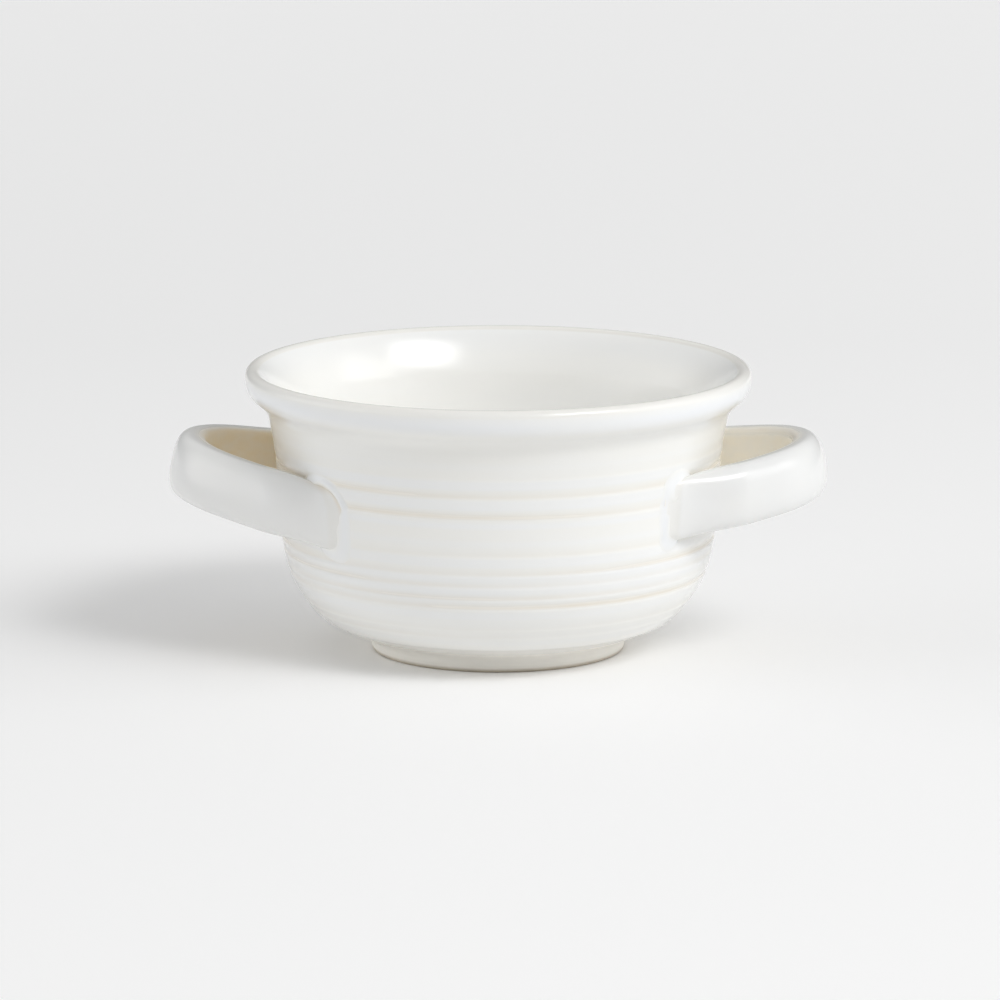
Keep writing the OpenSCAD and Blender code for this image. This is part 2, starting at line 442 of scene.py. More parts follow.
def glaze_break_group():
    """Colour of a glaze that is cool where it lies thick, breaks to beige where it runs thin, and turns a
    lighter white where painted light is laid on.
    """
    group, into, out = new_group("Glaze break", [
        ("White", "Color", (0.875, 0.87, 0.835, 1)),
        # A lighter copy of the white, laid on as painted light inside the bowl, under it and at the strap
        # ends
        ("Lit White", "Color", (0.958, 0.953, 0.922, 1)),
        ("Thick", "Color", (0.86, 0.875, 0.89, 1)),
        ("Thin", "Color", (0.81, 0.765, 0.675, 1)),
        ("Bare", "Color", (0.80, 0.66, 0.445, 1)),
        ("Painted Light Mask", "Float", 0.0),
        ("Thin Mask", "Float", 0.0),
        ("Thick Mask", "Float", 0.0),
        ("Bare Mask", "Float", 0.0),
        ("Cloud Scale", "Float", 40.0),
        ("Streak", "Float", 1.0),
    ], [("Colour", "Color"), ("Roughness", "Float")])
    place = node(group, "ShaderNodeTexCoord").outputs["Object"]
    stretch = node(group, "ShaderNodeCombineXYZ", {"X": 1.0, "Y": 1.0})
    group.links.new(into.outputs["Streak"], stretch.inputs["Z"])
    scaled = node(group, "ShaderNodeVectorMath", operation="MULTIPLY")
    group.links.new(place, scaled.inputs[0])
    group.links.new(stretch.outputs[0], scaled.inputs[1])
    cloud = noise(group, scaled.outputs[0], into.outputs["Cloud Scale"], 4.0, 0.55)
    fine_scale = math_node(group, "MULTIPLY", into.outputs["Cloud Scale"], 5.0)
    fine = noise(group, scaled.outputs[0], fine_scale, 3.0)
    cloudy = remap(group, cloud, 0.35, 0.65, 0.0, 1.0)
    patchy = remap(group, cloud, 0.3, 0.62, 0.55, 1.0)
    thick = math_node(group, "MULTIPLY", into.outputs["Thick Mask"], patchy)
    drift = math_node(group, "MULTIPLY", cloudy, 0.22)
    thick = math_node(group, "MAXIMUM", thick, drift)
    thin = math_node(group, "MULTIPLY", into.outputs["Thin Mask"], remap(group, fine, 0.35, 0.65, 0.8, 1.0))
    bare = math_node(group, "MULTIPLY", into.outputs["Bare Mask"], remap(group, fine, 0.3, 0.7, 0.75, 1.0))
    colour = mix_colour(group, into.outputs["Painted Light Mask"], into.outputs["White"], into.outputs["Lit White"])
    colour = mix_colour(group, thick, colour, into.outputs["Thick"])
    colour = mix_colour(group, thin, colour, into.outputs["Thin"])
    colour = mix_colour(group, bare, colour, into.outputs["Bare"])
    group.links.new(colour, out.inputs["Colour"])
    dull = math_node(group, "MAXIMUM", thin, bare)
    group.links.new(remap(group, dull, 0.0, 1.0, 0.14, 0.42), out.inputs["Roughness"])
    return group


def glaze_skin_group():
    """Height of a fired glaze's skin: a faint orange peel, and rare pinholes."""
    group, into, out = new_group("Glaze skin", [
        ("Peel Scale", "Float", 260.0),
        ("Pin Scale", "Float", 90.0),
    ], [("Height", "Float"), ("Pin", "Float")])
    place = node(group, "ShaderNodeTexCoord").outputs["Object"]
    peel = noise(group, place, into.outputs["Peel Scale"], 2.0)
    cells = node(group, "ShaderNodeTexVoronoi")
    group.links.new(place, cells.inputs["Vector"])
    group.links.new(into.outputs["Pin Scale"], cells.inputs["Scale"])
    spot = remap(group, cells.outputs["Distance"], 0.012, 0.03, 0.6, 0.0)
    parts = node(group, "ShaderNodeSeparateColor")
    group.links.new(cells.outputs["Color"], parts.inputs["Color"])
    chosen = math_node(group, "GREATER_THAN", parts.outputs["Red"], 0.985)
    pin = math_node(group, "MULTIPLY", spot, chosen)
    height = math_node(group, "SUBTRACT", peel, math_node(group, "MULTIPLY", pin, 2.0))
    group.links.new(height, out.inputs["Height"])
    group.links.new(pin, out.inputs["Pin"])
    return group


def clay_grain_group():
    """Colour and height of fired stoneware: fine grain with darker specks of grog."""
    group, into, out = new_group("Clay grain", [
        ("Clay", "Color", (0.62, 0.55, 0.44, 1)),
        ("Speck", "Color", (0.36, 0.29, 0.21, 1)),
        ("Grain Scale", "Float", 900.0),
    ], [("Colour", "Color"), ("Height", "Float")])
    place = node(group, "ShaderNodeTexCoord").outputs["Object"]
    grain = noise(group, place, into.outputs["Grain Scale"], 5.0, 0.6)
    patch = noise(group, place, math_node(group, "MULTIPLY", into.outputs["Grain Scale"], 0.08), 2.0)
    specks = remap(group, grain, 0.62, 0.72, 0.0, 0.7)
    light = node(group, "ShaderNodeHueSaturation", {"Saturation": 1.0})
    group.links.new(into.outputs["Clay"], light.inputs["Color"])
    group.links.new(remap(group, patch, 0.3, 0.7, 0.92, 1.06), light.inputs["Value"])
    colour = mix_colour(group, specks, light.outputs["Color"], into.outputs["Speck"])
    group.links.new(colour, out.inputs["Colour"])
    group.links.new(grain, out.inputs["Height"])
    return group


# Materials

glaze_break = glaze_break_group()
glaze_skin = glaze_skin_group()
clay_grain = clay_grain_group()
# The first mask lays painted light, a lighter white, inside and under the bowl and on the strap ends
MASKS = {
    "glaze_painted_light": "Painted Light Mask",
    "glaze_thin": "Thin Mask",
    "glaze_thick": "Thick Mask",
    "glaze_bare": "Bare Mask",
}
PIN_BROWN = (0.34, 0.28, 0.2, 1)
# Darker copies of the glaze's white and thick colours for the handles: painted shade that tones them down
STRAP_SHADED_WHITE = (0.825, 0.82, 0.79, 1)
STRAP_SHADED_THICK = (0.815, 0.825, 0.835, 1)
# The right strap's paler tan is partly painted light for the inside of its loop; the left keeps the bare
# clay's tan
STRAP_BARE_WITH_PAINTED_LIGHT = {"left": (0.80, 0.66, 0.445, 1), "right": (0.95, 0.86, 0.69, 1)}
# The foot's thin cream glaze, lightened nearly to white as painted light against the shade under the belly
FOOT_LIT_THIN = (0.985, 0.96, 0.895, 1)
FOOT_BUFF = (0.56, 0.495, 0.395, 1)


def place_group(tree, group, values):
    """A node group in a material, with its own values."""
    placed = tree.nodes.new("ShaderNodeGroup")
    placed.node_tree = group
    for key, value in values.items():
        placed.inputs[key].default_value = value
    return placed


def bump_into(tree, height, shader, distance):
    """A Bump node from a height to a shader's normal."""
    bump = node(tree, "ShaderNodeBump", {"Distance": distance, "Strength": 1.0})
    tree.links.new(height, bump.inputs["Height"])
    tree.links.new(bump.outputs["Normal"], shader.inputs["Normal"])


def glaze_material(name, break_values, skin_values, peel):
    """Glossy glaze over stoneware, coloured by the masks on the mesh."""
    material = bpy.data.materials.new(name)
    material.use_nodes = True
    tree = material.node_tree
    shader = tree.nodes["Principled BSDF"]
    shader.inputs["IOR"].default_value = 1.5
    colour = place_group(tree, glaze_break, break_values)
    for layer, socket in MASKS.items():
        mask = node(tree, "ShaderNodeAttribute", attribute_name=layer)
        tree.links.new(mask.outputs["Fac"], colour.inputs[socket])
    skin = place_group(tree, glaze_skin, skin_values)
    pin = node(tree, "ShaderNodeMix", data_type="RGBA")
    tree.links.new(skin.outputs["Pin"], pin.inputs["Factor"])
    tree.links.new(colour.outputs["Colour"], pin.inputs[6])
    pin.inputs[7].default_value = PIN_BROWN
    tree.links.new(pin.outputs[2], shader.inputs["Base Color"])
    tree.links.new(colour.outputs["Roughness"], shader.inputs["Roughness"])
    bump_into(tree, skin.outputs["Height"], shader, peel)
    return material


def clay_material(name, break_values, grain_values, grain_depth):
    """Fired clay: under a thin glaze on its side, bare where the mask says so."""
    material = bpy.data.materials.new(name)
    material.use_nodes = True
    tree = material.node_tree
    shader = tree.nodes["Principled BSDF"]
    mask = node(tree, "ShaderNodeAttribute", attribute_name="glaze_bare").outputs["Fac"]
    glazed = place_group(tree, glaze_break, break_values)
    grain = place_group(tree, clay_grain, grain_values)
    tree.links.new(mix_colour(tree, mask, glazed.outputs["Colour"], grain.outputs["Colour"]),
                   shader.inputs["Base Color"])
    tree.links.new(remap(tree, mask, 0.0, 1.0, 0.4, 0.7), shader.inputs["Roughness"])
    bump_into(tree, math_node(tree, "MULTIPLY", grain.outputs["Height"], mask), shader, grain_depth)
    return material


bowl_glaze = glaze_material(
    "Bowl glaze", {"Cloud Scale": 16.0, "Streak": 5.0}, {"Peel Scale": 240.0, "Pin Scale": 64.0}, 0.02 * MM)
strap_glaze = {
    hand: glaze_material(
        f"{hand.title()} strap glaze",
        {"Cloud Scale": 45.0, "Streak": 1.5, "White": STRAP_SHADED_WHITE, "Thick": STRAP_SHADED_THICK, "Bare": bare},
        {"Peel Scale": 260.0, "Pin Scale": 80.0}, 0.02 * MM)
    for hand, bare in STRAP_BARE_WITH_PAINTED_LIGHT.items()
}
pooled_glaze = glaze_material(
    "Pooled glaze", {"Cloud Scale": 60.0, "Streak": 1.0},
    {"Peel Scale": 200.0, "Pin Scale": 60.0}, 0.015 * MM)
# The foot's glaze colour is lightened: painted light
foot_clay = clay_material(
    "Foot clay", {"Cloud Scale": 60.0, "Thin Mask": 1.0, "Thin": FOOT_LIT_THIN},
    {"Grain Scale": 1100.0, "Clay": FOOT_BUFF}, 0.06 * MM)


# The bowl

def ring_cut(z, turn):
    """How deep the throwing rings cut the wall at a height and a turn round the bowl."""
    cut = np.zeros(np.broadcast(z, turn).shape)
    for i, (_, depth) in enumerate(RINGS):
        once, thrice, twice = (phase * i for phase in RING_PHASES)
        wander = RING_WANDER * np.sin(turn + once) + RING_RIPPLE * RING_WANDER * np.sin(3 * turn + thrice)
        fade = 1 - RING_FADE + RING_FADE * np.sin(2 * turn + twice)
        dz = z - ring_z[i] - wander
        groove = hump(np.where(dz > 0, dz / RING_ABOVE, dz / RING_BELOW))
        cut = np.maximum(cut, RING_DEPTH * depth * fade * groove)
    return cut


def bowl_outline():
    """Rows of the bowl from under its floor, out and up, over the lip and down to the floor inside."""
    count = BOWL_ROWS
    base_r = np.linspace(BASE_POLE_R, foot_top[0] - BASE_GAP, count["base"])
    base = np.column_stack([base_r, np.full(len(base_r), FOOT_H)])
    underside_end = heel_edge - HEEL_SOFT * under_out
    out = np.linspace(0, np.linalg.norm(underside_end - foot_top), count["underside"])[:, None]
    sunk = FILLET_SINK * (1 - smooth((out - FILLET_R) / FILLET_EDGE))
    underside = foot_top + out * under_out + sunk * under_in
    heel_curve = [underside_end, heel_edge - HEEL_ROUND * HEEL_SOFT * under_out,
                  heel_edge + HEEL_ROUND * HEEL_SOFT * lean(HEEL_LEAN), heel]
    soft_heel = bezier(heel_curve, np.linspace(0, 1, count["heel"])[1:])
    wall_z = np.arange(heel[1] + WALL_STEP, neck[1], WALL_STEP)
    wall = np.column_stack([belly_r(wall_z), wall_z])
    rim_curve = [neck, neck + COVE_PULL * lean(NECK_LEAN), [RIM_R, lip_c[1] - RIM_PULL], [RIM_R, lip_c[1]]]
    rim = bezier(rim_curve, np.linspace(0, 1, count["rim"]))
    lip = arc(lip_c, LIP_R, 0, 180 - MOUTH_LEAN, count["lip"])[1:]
    along = belly_points[::-INNER_STRIDE]
    step = np.gradient(along, axis=0)
    side = np.column_stack([-step[:, 1], step[:, 0]]) / np.linalg.norm(step, axis=1)[:, None]
    thickness = WALL_T + (NECK_T - WALL_T) * smooth((along[:, 1] - heel[1]) / (neck[1] - heel[1]))
    inner = along - thickness[:, None] * side
    mouth_curve = [lip[-1], lip[-1] - MOUTH_PULL * lean(MOUTH_LEAN),
                   inner[0] + MOUTH_EASE * MOUTH_PULL * lean(NECK_LEAN), inner[0]]
    mouth = bezier(mouth_curve, np.linspace(0, 1, count["mouth"]))[1:]
    floor_z = FOOT_H + FLOOR_T
    turn = math.radians(90 - HEEL_LEAN)
    floor_arc_r = (inner[-1][1] - floor_z) / (1 - math.cos(turn))
    floor_c = inner[-1] + floor_arc_r * np.array([-math.sin(turn), math.cos(turn)])
    curve = arc(floor_c, floor_arc_r, -HEEL_LEAN, -90, count["curve"])[1:]
    floor_r = np.linspace(curve[-1][0], FLOOR_POLE_R, count["floor"])[1:]
    floor = np.column_stack([floor_r, np.full(len(floor_r), floor_z)])
    parts = {"base": base, "underside": underside, "heel": soft_heel, "wall": wall, "rim": rim, "lip": lip,
             "mouth": mouth, "inner": inner[1:], "curve": curve, "floor": floor}
    rows = np.concatenate(list(parts.values()))
    kinds = np.concatenate([[kind] * len(part) for kind, part in parts.items()])
    return rows, kinds


def bowl_masks(r, z, cut, kinds):
    """Where the bowl is lightened with painted light inside and underneath, and where its glaze is thin on
    edges and in rings, thick beside them, and bare below.
    """
    def on(*names):
        return np.isin(kinds, names)[:, None]

    lip_angle = np.degrees(np.arctan2(z - lip_c[1], r - lip_c[0]))
    thin = (cut / RING_DEPTH) ** RING_LINE_POWER
    thin = np.where(on("lip"), LIP_THIN * hump((lip_angle - LIP_THIN_AT) / LIP_THIN_OVER), thin)
    thin = np.where(on("underside"), UNDERSIDE_THIN * smooth((heel[1] - z) / UNDERSIDE_THIN_OVER), thin)
    pooled = np.zeros_like(r)
    for zi, (_, depth) in zip(ring_z, RINGS):
        above = hump((z - zi - POOL_ABOVE_RING[0]) / POOL_ABOVE_RING[1])
        below = hump((z - zi + POOL_BELOW_RING[0]) / POOL_BELOW_RING[1])
        pooled += depth * (above + below)
    thick = np.where(on("heel", "wall", "rim"), RING_POOL * np.clip(pooled, 0, 1), 0)
    thick = np.where(on("rim"), hump((z - BOWL_H + RIM_POOL_DROP) / RIM_POOL_OVER), thick)
    mouth = MOUTH_POOL * ramp(z, BOWL_H - MOUTH_POOL_DROP, MOUTH_POOL_OVER)
    thick = np.where(on("mouth"), mouth, thick)
    bare = np.where(on("base"), BASE_BARE * np.ones_like(r), 0)
    # Painted light: the mouth, the inside, the floor and the underside take the lighter white
    full = on("mouth", "inner", "curve", "floor", "underside") * np.ones_like(r)
    masks = {"glaze_painted_light": full, "glaze_thin": thin, "glaze_thick": thick, "glaze_bare": bare}
    return {key: with_poles(mask, mask[0, 0], mask[-1, 0]) for key, mask in masks.items()}


def build_bowl():
    """The thrown bowl, with its rings cut in."""
    rows, kinds = bowl_outline()
    turn = np.linspace(0, 2 * math.pi, SEGMENTS, endpoint=False)[None, :]
    r, z = all_round(rows)
    outside = np.isin(kinds, ["heel", "wall", "rim"])[:, None]
    cut = np.where(outside, ring_cut(z, turn), 0)
    r = r - cut
    poles = [(0, 0, rows[0][1]), (0, 0, rows[-1][1])]
    verts = np.vstack([spun(r, z), poles])
    faces = capped_faces(len(rows), SEGMENTS)
    return make_mesh("crock_bowl", verts, faces, bowl_masks(r, z, cut, kinds), bowl_glaze)


# The foot

def build_foot():
    """The foot ring, bare where it stands and thinly glazed on its side, with the fillet at its top."""
    count = FOOT_ROWS
    stand_in = FOOT_R - FOOT_LAND
    side_top = foot_top - [0, FILLET_DROP * FILLET_R]
    fillet_top = foot_top + FILLET_R * under_out
    pull_down, pull_out = (share * FILLET_R for share in FILLET_PULLS)
    fillet_curve = [side_top, foot_top - [0, pull_down], foot_top + pull_out * under_out, fillet_top]
    top_start = foot_top + [-FOOT_TOP_IN, FOOT_TOP_UP]
    rows = np.concatenate([
        arc([stand_in + FOOT_BEVEL, FOOT_BEVEL], FOOT_BEVEL, 190, 270, count["inner_bevel"]),
        np.linspace([stand_in + FOOT_BEVEL, 0], [FOOT_R - FOOT_BEVEL, 0], count["land"])[1:-1],
        arc([FOOT_R - FOOT_BEVEL, FOOT_BEVEL], FOOT_BEVEL, -90, 0, count["outer_bevel"]),
        np.linspace([FOOT_R, FOOT_BEVEL], side_top, count["side"])[1:],
        bezier(fillet_curve, np.linspace(0, 1, count["fillet"]))[1:],
        [fillet_top + out * under_out + deep * under_in for out, deep in FILLET_TUCK],
        np.linspace(top_start, [stand_in - FOOT_DRAFT, FOOT_H], count["top"]),
    ])
    r, z = all_round(rows)
    bare = np.where(r > FOOT_R - FOOT_BEVEL, smooth((FOOT_BARE_TO - z) / FOOT_BARE_OVER), 1)
    faces = grid_faces(len(rows), SEGMENTS, close_rows=True)
    return make_mesh("crock_foot", spun(r, z), faces, {"glaze_bare": bare.ravel()}, foot_clay)


# The handles

@dataclass
class Strap:
    """Path, section and place of one strap handle, laid flat as the right-hand one and then set on the wall.

    On the strap, s runs along it from its tip, n across its thickness from its middle, and h up its width.
    """
    side: int  # 1 on the right, -1 on the left
    z: float  # height at which it meets the wall
    tilt: float  # degrees that the loop rises outward
    outer: float  # how square the section is on its outer face
    inner: float  # and on its inner face
    end_shift: float  # how far the ends run past the nominal length
    end_slant: float  # how much further they run for each length down
    top_cut: float  # radius of an end's upper corner
    low_cut: float  # and of its lower corner
    press: float  # share by which the ends are thumbed down
    taper: float  # length over which they are
    seam: float  # 1 where the end stands up as a crease, 0 where it is smoothed in
    # On the right this share is smaller, which also paints the inside of its loop lighter: painted light
    raw: float  # share of the glaze that is wiped off inside
    raw_front: tuple  # how far up that goes on the front leg, and over what width it ends
    raw_rear: tuple  # and on the rear leg

    def __post_init__(self):
        self.wall_r = float(belly_r(self.z))
        self.bend_r = LOOP_R + STRAP_T / 2
        self.loop_x = self.wall_r + HANDLE_REACH - STRAP_T - LOOP_R
        splay = math.asin((self.wall_r - SEAT_BITE - LOOP_R) / self.loop_x)
        seat_start = self.loop_x * math.cos(splay) - math.sqrt(2 * self.wall_r * SEAT_BITE - SEAT_BITE ** 2)
        self.bend = math.pi / 2 - splay
        self.half = self.bend_r * self.bend + seat_start + SEAT_LEN
        self.trace()

    def trace(self):
        """Works out the strap's middle line, with the change from bend to straight leg eased."""
        s = np.arange(0, self.half + 8 * BEND_EASE, LINE_STEP)
        sharp = np.clip(s / self.bend_r, -self.bend, self.bend)
        reach = np.arange(-4 * BEND_EASE, 4 * BEND_EASE + LINE_STEP, LINE_STEP)
        weight = np.exp(-0.5 * (reach / BEND_EASE) ** 2)
        mirrored = np.concatenate([-sharp[:0:-1], sharp])
        padded = np.pad(mirrored, len(reach) // 2, mode="edge")
        eased = np.convolve(padded, weight / weight.sum(), mode="valid")
        angle = eased[len(sharp) - 1:len(sharp) - 1 + len(s)]
        x = self.loop_x + self.bend_r + np.concatenate([[0], np.cumsum(-np.sin(angle[:-1]) * LINE_STEP)])
        y = np.concatenate([[0], np.cumsum(np.cos(angle[:-1]) * LINE_STEP)])
        self.line = (s, x, y, angle)
        self.end_angle = float(np.interp(self.half, s, angle))
        self.end_point = np.array([np.interp(self.half, s, x), np.interp(self.half, s, y)])

    def flat(self, s, n, h):
        """Point at a place on the strap, in the flat loop."""
        along, x, y, angle = self.line
        size = np.abs(s)
        turn = np.interp(size, along, angle)
        px = np.interp(size, along, x) + n * np.cos(turn)
        py = np.interp(size, along, y) + n * np.sin(turn)
        return np.stack([px, np.where(s < 0, -py, py), np.broadcast_to(h, px.shape)], axis=-1)

    def on_wall(self, points):
        """Tilts up what is laid flat and puts it on its side of the bowl."""
        x = points[..., 0] - self.wall_r
        z = points[..., 2]
        c, s = math.cos(math.radians(self.tilt)), math.sin(math.radians(self.tilt))
        out = self.side * (self.wall_r + c * x - s * z)
        return np.stack([out, points[..., 1], self.z + s * x + c * z], axis=-1)

    def off_wall(self, points):
        """The flat loop's place of a point on the bowl."""
        x = self.side * points[..., 0] - self.wall_r
        z = points[..., 2] - self.z
        c, s = math.cos(math.radians(self.tilt)), math.sin(math.radians(self.tilt))
        return np.stack([self.wall_r + c * x + s * z, points[..., 1], -s * x + c * z], axis=-1)

    def from_end(self, s, h):
        """Distance back along the strap from its end."""
        return self.half + self.end_past(h) - np.abs(s)

    def left_proud(self, s, h):
        """Share of its height off the wall that the strap keeps, where its ends are thumbed down."""
        back = self.from_end(s, h)
        ramp = END_THUMBED - END_LEFT_UP * self.seam * smooth(2 * h / STRAP_H)
        return (1 - self.press * smooth(1 - back / self.taper)) * (1 - ramp * smooth(1 - back / END_RAMP))

    def thumb_down(self, points, share):
        """Moves points of the set strap to a share of their height off the wall."""
        r = np.hypot(points[..., 0], points[..., 1])
        wall = belly_r(points[..., 2])
        grow = np.where(r > wall, wall + (r - wall) * share, r) / np.maximum(r, 1e-6)
        return points * np.stack([grow, grow, np.ones_like(grow)], axis=-1)

    def section(self):
        """Points round the strap's section, as n and h: crowned faces and round edges."""
        t = np.linspace(0, 2 * math.pi, STRAP_RING, endpoint=False)
        c, s = np.cos(t), np.sin(t)
        power = np.where(c > 0, self.outer, self.inner)
        n = STRAP_T / 2 * np.sign(c) * np.abs(c) ** (2 / power)
        h = STRAP_H / 2 * np.sign(s) * np.abs(s) ** (2 / power)
        return n, h

    def end_past(self, h):
        """How far the strap's end lies past its nominal length at h: slanted, with rounded corners."""
        cut = np.where(h > 0, self.top_cut, self.low_cut)
        x = np.clip(np.abs(h) - (STRAP_H / 2 - cut), 0, cut)
        return self.end_shift - self.end_slant * h - cut + np.sqrt(np.maximum(cut * cut - x * x, 0))

    def rows(self):
        """Rows of points along the strap, from one rounded end to the other, as arrays of s, n and h."""
        n0, h0 = self.section()
        across, up = STRAP_T / 2, STRAP_H / 2
        reach = self.half - END_ROUND
        count = int(2 * reach / STRAP_STEP)
        body = []
        for u in np.linspace(-1, 1, count):
            past = self.end_past(h0) * ramp(abs(u), LEG_START, 1 - LEG_START)
            body.append((u * reach + math.copysign(1, u) * past, n0, h0))

        def end_row(inset, beyond, sign):
            h = h0 * (1 - inset / up)
            return sign * (reach + beyond + self.end_past(h)), n0 * (1 - inset / across), h

        def end_rows(sign):
            made = [end_row(END_ROUND * (1 - math.cos(a)), END_ROUND * math.sin(a), sign)
                    for a in np.radians(np.linspace(0, 90, STRAP_END_ROWS))[1:]]
            insets = np.linspace(END_ROUND, across, STRAP_CAP_ROWS)[1:-1]
            return made + [end_row(inset, END_ROUND, sign) for inset in insets]

        made = end_rows(-1)[::-1] + body + end_rows(1)
        return tuple(np.stack([row[i] for row in made]) for i in range(3))

    def masks(self, s, n, h):
        """Where the strap's glaze is wiped off inside, tan and darkened with painted shade at its crease
        where the glaze runs thin, thin on an edge, thick outside, and lightened with painted light at its
        smoothed-in ends.
        """
        n0, h0 = self.section()
        across, up = STRAP_T / 2, STRAP_H / 2
        back = self.from_end(s, h)
        bands = (self.raw_front, self.raw_rear)
        front_raw, rear_raw = (smooth((start - h0 / up) / width) for start, width in bands)
        rearward = smooth(s / FRONT_TO_REAR + 0.5)
        inside = ramp(-n0 / across, *INNER_FACE) * (front_raw + (rear_raw - front_raw) * rearward)
        shown = smooth((self.half - WIPED_FROM_END - np.abs(s)) / WIPED_FADE)
        # The crease darkens with painted shade as well as with the tan of thin glaze
        to_edge = np.minimum(back, up - h)
        crease_thin_and_shade = smooth(1 - to_edge / CREASE_W) * smooth(1 - back / CREASE_LEN)
        crease_thin_and_shade = crease_thin_and_shade * smooth(h / up + CREASE_LOW) * (n > 0)
        bare = np.maximum(self.raw * inside * shown, CREASE_THIN_AND_SHADE * self.seam * crease_thin_and_shade)
        thick = STRAP_POOL * smooth(n / across + 0.5) * ramp(back, *STRAP_POOL_BACK)
        thin = STRAP_EDGE_THIN * ramp(-n0 / across, *INNER_EDGE) * ramp(h0 / up, *TOP_EDGE) * shown
        # Painted light: the smoothed-in ends take the lighter white
        full = STRAP_END_PAINTED_LIGHT * (1 - self.seam ** 2) * smooth((END_RAMP - back) / STRAP_END_PAINTED_LIGHT_OVER)
        masks = {"glaze_painted_light": full, "glaze_thin": thin, "glaze_thick": thick, "glaze_bare": bare}
        return {key: with_poles(mask, 0, 0) for key, mask in masks.items()}


def bury_in_wall(verts):
    """Moves what would lie deep in the wall out to just under the wall's face."""
    r = np.hypot(verts[:, 0], verts[:, 1])
    least = belly_r(verts[:, 2]) - BURY
    grow = np.where(r < least, least / np.maximum(r, 1e-6), 1)
    return np.column_stack([verts[:, 0] * grow, verts[:, 1] * grow, verts[:, 2]])


def build_handle(name, strap, glaze):
    """One strap handle on the wall, its ends thumbed down and reaching just under the wall's face."""
    s, n, h = strap.rows()
    verts = strap.thumb_down(strap.on_wall(strap.flat(s, n, h)), strap.left_proud(s, h))
    verts = np.vstack([verts.reshape(-1, 3), verts[0].mean(axis=0), verts[-1].mean(axis=0)])
    faces = capped_faces(len(s), STRAP_RING)
    return make_mesh(name, bury_in_wall(verts), faces, strap.masks(s, n, h), glaze)


# The slip round the strap ends

class Seat:
    """Where one strap end sits on the wall, with stations all round the seat's middle.

    The sign is -1 for the front end and 1 for the rear end.
    """

    def __init__(self, strap, sign):
        self.strap = strap
        back = np.array([sign * (strap.half - SEAT_MIDDLE * SEAT_LEN)])
        middle = strap.on_wall(strap.flat(back, np.zeros(1), np.zeros(1)))[0]
        self.turn = math.atan2(middle[1], middle[0])
        self.z = middle[2]
        self.wall_r = float(belly_r(self.z))
        self.round = np.linspace(0, 2 * math.pi, SLIP_STATIONS, endpoint=False)
        tip_turn = 0.0 if strap.side > 0 else math.pi
        self.to_tip = np.cos(self.round) * math.copysign(1, math.sin(tip_turn - self.turn))
        self.tangent = np.array([-math.sin(strap.end_angle), sign * math.cos(strap.end_angle)])
        self.normal = np.array([math.cos(strap.end_angle), sign * math.sin(strap.end_angle)])
        self.end_xy = strap.end_point * np.array([1, sign])

    def wall_point(self, q, off):
        """Point at a distance q from the seat's middle along the wall, lifted off the wall."""
        turn = self.turn + q * np.cos(self.round) / self.wall_r
        z = self.z + q * np.sin(self.round)
        nr, nz = belly_normal(z)
        r = belly_r(z) + off * nr
        return np.stack([r * np.cos(turn), r * np.sin(turn), z + off * nz], axis=-1)

    def in_strap(self, points):
        """True where a point lies in the strap's end."""
        strap = self.strap
        share = np.full(points.shape[:-1], SHARE_GUESS)
        for _ in range(SHARE_ROUNDS):
            flat = strap.off_wall(strap.thumb_down(points, 1 / share))
            s = (flat[..., :2] - self.end_xy) @ self.tangent
            share = 0.5 * (share + strap.left_proud(strap.half + s, flat[..., 2]))
        n = (flat[..., :2] - self.end_xy) @ self.normal
        h = flat[..., 2]
        power = np.where(n > 0, strap.outer, strap.inner)
        past = np.clip((s - strap.end_past(h)) / END_ROUND + 1, 0, 1)
        inset = END_ROUND * (1 - np.sqrt(1 - past * past))
        body = (np.abs(n) / (STRAP_T / 2 - inset)) ** power + (np.abs(h) / (STRAP_H / 2 - inset)) ** power
        return (body < 1) & (s < strap.end_past(h))

    def outline(self, off):
        """Distance from the seat's middle to the strap's side, all round, at a height off the wall."""
        low = np.zeros(SLIP_STATIONS)
        high = np.full(SLIP_STATIONS, SLIP_SEARCH)
        for _ in range(HALVINGS):
            mid = (low + high) / 2
            covered = self.in_strap(self.wall_point(mid, off))
            low = np.where(covered, mid, low)
            high = np.where(covered, high, mid)
        return (low + high) / 2


def soften(q):
    """Rounds an outline's sharp turns by averaging each distance with its neighbours."""
    for _ in range(SOFTENINGS):
        q = 0.25 * np.roll(q, 1) + 0.5 * q + 0.25 * np.roll(q, -1)
    return q


def widest(q):
    """The largest of each distance and its neighbours."""
    return np.maximum(q, np.maximum(np.roll(q, 1), np.roll(q, -1)))


